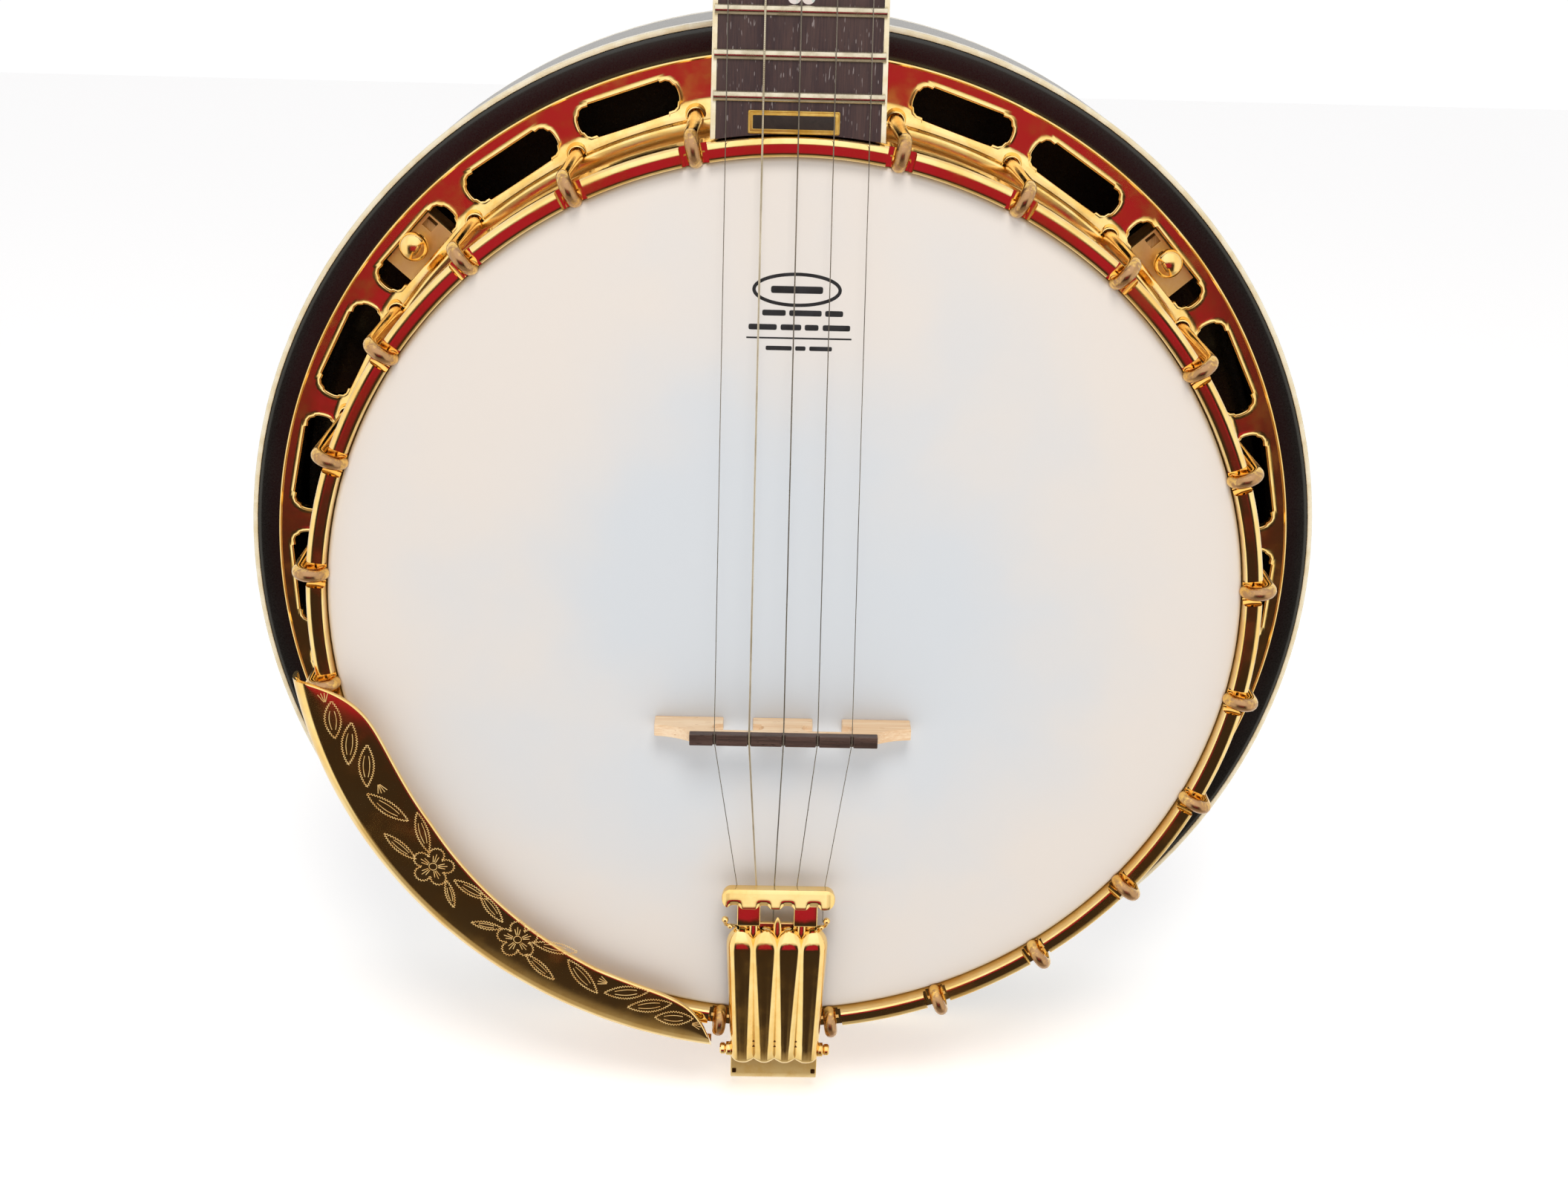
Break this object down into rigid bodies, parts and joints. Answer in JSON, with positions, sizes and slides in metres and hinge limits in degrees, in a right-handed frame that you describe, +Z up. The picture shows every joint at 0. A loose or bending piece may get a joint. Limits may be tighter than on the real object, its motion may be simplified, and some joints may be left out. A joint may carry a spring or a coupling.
{
  "type": "banjo",
  "caption": "Resonator banjo with a round frosted head, gold windowed flange, fluted tailpiece, engraved armrest and a bound fretted neck with planetary tuners.",
  "frame": {"origin": "centre of the flat middle of the resonator's back", "axes": "+Z up the neck towards the headstock, -Y towards the player's strings and head, +X to the right seen from the front"},
  "size_m": [0.349, 0.1155, 0.9834],
  "materials": {
    "maple": "satin",
    "bell_bronze": "satin",
    "gold_plate": "polished",
    "frosted_head": "matte",
    "flesh_aluminium": "satin",
    "plain_steel": "satin",
    "bridge_maple": "satin",
    "ebony": "satin",
    "string_steel": "polished",
    "wound_bronze": "polished",
    "black_lacquer": "satin",
    "cream_binding": "gloss",
    "mahogany": "gloss",
    "rosewood": "satin",
    "fret_nickel": "polished",
    "pearl": "gloss",
    "plate_brass": "polished",
    "bone": "satin",
    "pearloid": "gloss"
  },
  "bodies": {
    "root": {"rim": "maple", "tone_ring": "bell_bronze", "flange": "gold_plate", "head_skin": "frosted_head", "flesh_hoop": "flesh_aluminium", "tension_hoop": "gold_plate", "bracket_hooks": "gold_plate", "bracket_nuts": "gold_plate", "upper_coordinator_rod": "plain_steel", "lower_coordinator_rod": "plain_steel", "coordinator_nuts": "plain_steel", "neck_lag_bolts": "plain_steel", "tailpiece_bracket": "gold_plate", "tailpiece_base": "gold_plate", "tailpiece_hinge_pin": "gold_plate", "armrest": "gold_plate", "armrest_clamps": "gold_plate", "bridge": "bridge_maple", "bridge_cap": "ebony", "string_1": "string_steel", "string_2": "string_steel", "string_3": "string_steel", "string_4": "wound_bronze", "string_5": "string_steel", "resonator_shell": "black_lacquer", "resonator_bindings": "cream_binding", "resonator_lugs": "maple", "flange_brackets": "gold_plate", "neck": "mahogany", "heel_cap": "cream_binding", "fingerboard": "rosewood", "fingerboard_binding": "cream_binding", "frets": "fret_nickel", "fret_inlays": "pearl", "label_plate": "plate_brass", "nut": "bone", "fifth_string_nut": "bone", "truss_rod": "plain_steel", "peghead_overlay": "black_lacquer", "truss_rod_cover": "cream_binding", "truss_cover_screws": "gold_plate", "tuner_housings": "gold_plate", "fifth_peg_housing": "gold_plate"},
    "knob_1": {"tuner_knob_1": "pearloid"},
    "post_1": {"tuner_post_1": "gold_plate"},
    "knob_2": {"tuner_knob_2": "pearloid"},
    "post_2": {"tuner_post_2": "gold_plate"},
    "knob_3": {"tuner_knob_3": "pearloid"},
    "post_3": {"tuner_post_3": "gold_plate"},
    "knob_4": {"tuner_knob_4": "pearloid"},
    "post_4": {"tuner_post_4": "gold_plate"},
    "fifth_knob": {"fifth_peg_knob": "pearloid"},
    "fifth_post": {"fifth_peg_post": "gold_plate"},
    "thumb_screw_1": {"resonator_screw_1": "gold_plate"},
    "thumb_screw_2": {"resonator_screw_2": "gold_plate"},
    "thumb_screw_3": {"resonator_screw_3": "gold_plate"},
    "thumb_screw_4": {"resonator_screw_4": "gold_plate"},
    "lid": {"tailpiece_lid": "gold_plate"},
    "tension_screw": {"tailpiece_tension_screw": "gold_plate"}
  },
  "joints": [
    {"name": "knob_1_turn", "type": "hinge", "parent": "root", "child": "knob_1", "pos_m": [0.0258, -0.06824, 0.68053], "axis": [0, 0.9583, -0.2857], "continuous": true},
    {"name": "post_1_turn", "type": "hinge", "parent": "root", "child": "post_1", "pos_m": [0.0258, -0.06824, 0.68053], "axis": [0, 0.9583, -0.2857], "continuous": true},
    {"name": "knob_2_turn", "type": "hinge", "parent": "root", "child": "knob_2", "pos_m": [0.0238, -0.05052, 0.73995], "axis": [0, 0.9583, -0.2857], "continuous": true},
    {"name": "post_2_turn", "type": "hinge", "parent": "root", "child": "post_2", "pos_m": [0.0238, -0.05052, 0.73995], "axis": [0, 0.9583, -0.2857], "continuous": true},
    {"name": "knob_3_turn", "type": "hinge", "parent": "root", "child": "knob_3", "pos_m": [-0.0162, -0.05052, 0.73995], "axis": [0, 0.9583, -0.2857], "continuous": true},
    {"name": "post_3_turn", "type": "hinge", "parent": "root", "child": "post_3", "pos_m": [-0.0162, -0.05052, 0.73995], "axis": [0, 0.9583, -0.2857], "continuous": true},
    {"name": "knob_4_turn", "type": "hinge", "parent": "root", "child": "knob_4", "pos_m": [-0.0182, -0.06824, 0.68053], "axis": [0, 0.9583, -0.2857], "continuous": true},
    {"name": "post_4_turn", "type": "hinge", "parent": "root", "child": "post_4", "pos_m": [-0.0182, -0.06824, 0.68053], "axis": [0, 0.9583, -0.2857], "continuous": true},
    {"name": "fifth_knob_turn", "type": "hinge", "parent": "root", "child": "fifth_knob", "pos_m": [-0.02, -0.07717, 0.49845], "axis": [-1, 0, 0], "continuous": true},
    {"name": "fifth_post_turn", "type": "hinge", "parent": "root", "child": "fifth_post", "pos_m": [-0.02, -0.07717, 0.49845], "axis": [-1, 0, 0], "continuous": true},
    {"name": "thumb_screw_1_turn", "type": "hinge", "parent": "root", "child": "thumb_screw_1", "pos_m": [-0.11653, -0.058, 0.10401], "axis": [0, -1, 0], "continuous": true},
    {"name": "thumb_screw_2_turn", "type": "hinge", "parent": "root", "child": "thumb_screw_2", "pos_m": [-0.10834, -0.058, -0.11252], "axis": [0, -1, 0], "continuous": true},
    {"name": "thumb_screw_3_turn", "type": "hinge", "parent": "root", "child": "thumb_screw_3", "pos_m": [0.10834, -0.058, -0.11252], "axis": [0, -1, 0], "continuous": true},
    {"name": "thumb_screw_4_turn", "type": "hinge", "parent": "root", "child": "thumb_screw_4", "pos_m": [0.11653, -0.058, 0.10401], "axis": [0, -1, 0], "continuous": true},
    {"name": "lid_hinge", "type": "hinge", "parent": "root", "child": "lid", "pos_m": [0, -0.108, -0.1515], "axis": [1, 0, 0], "range_deg": [0, 95]},
    {"name": "tension_screw_turn", "type": "hinge", "parent": "root", "child": "tension_screw", "pos_m": [0, -0.108, -0.1428], "axis": [0, -1, 0], "continuous": true}
  ],
  "couplings": [
    {"joint": "post_1_turn", "follows": "knob_1_turn", "ratio": 0.25},
    {"joint": "post_2_turn", "follows": "knob_2_turn", "ratio": 0.25},
    {"joint": "post_3_turn", "follows": "knob_3_turn", "ratio": 0.25},
    {"joint": "post_4_turn", "follows": "knob_4_turn", "ratio": 0.25},
    {"joint": "fifth_post_turn", "follows": "fifth_knob_turn", "ratio": 0.25}
  ]
}
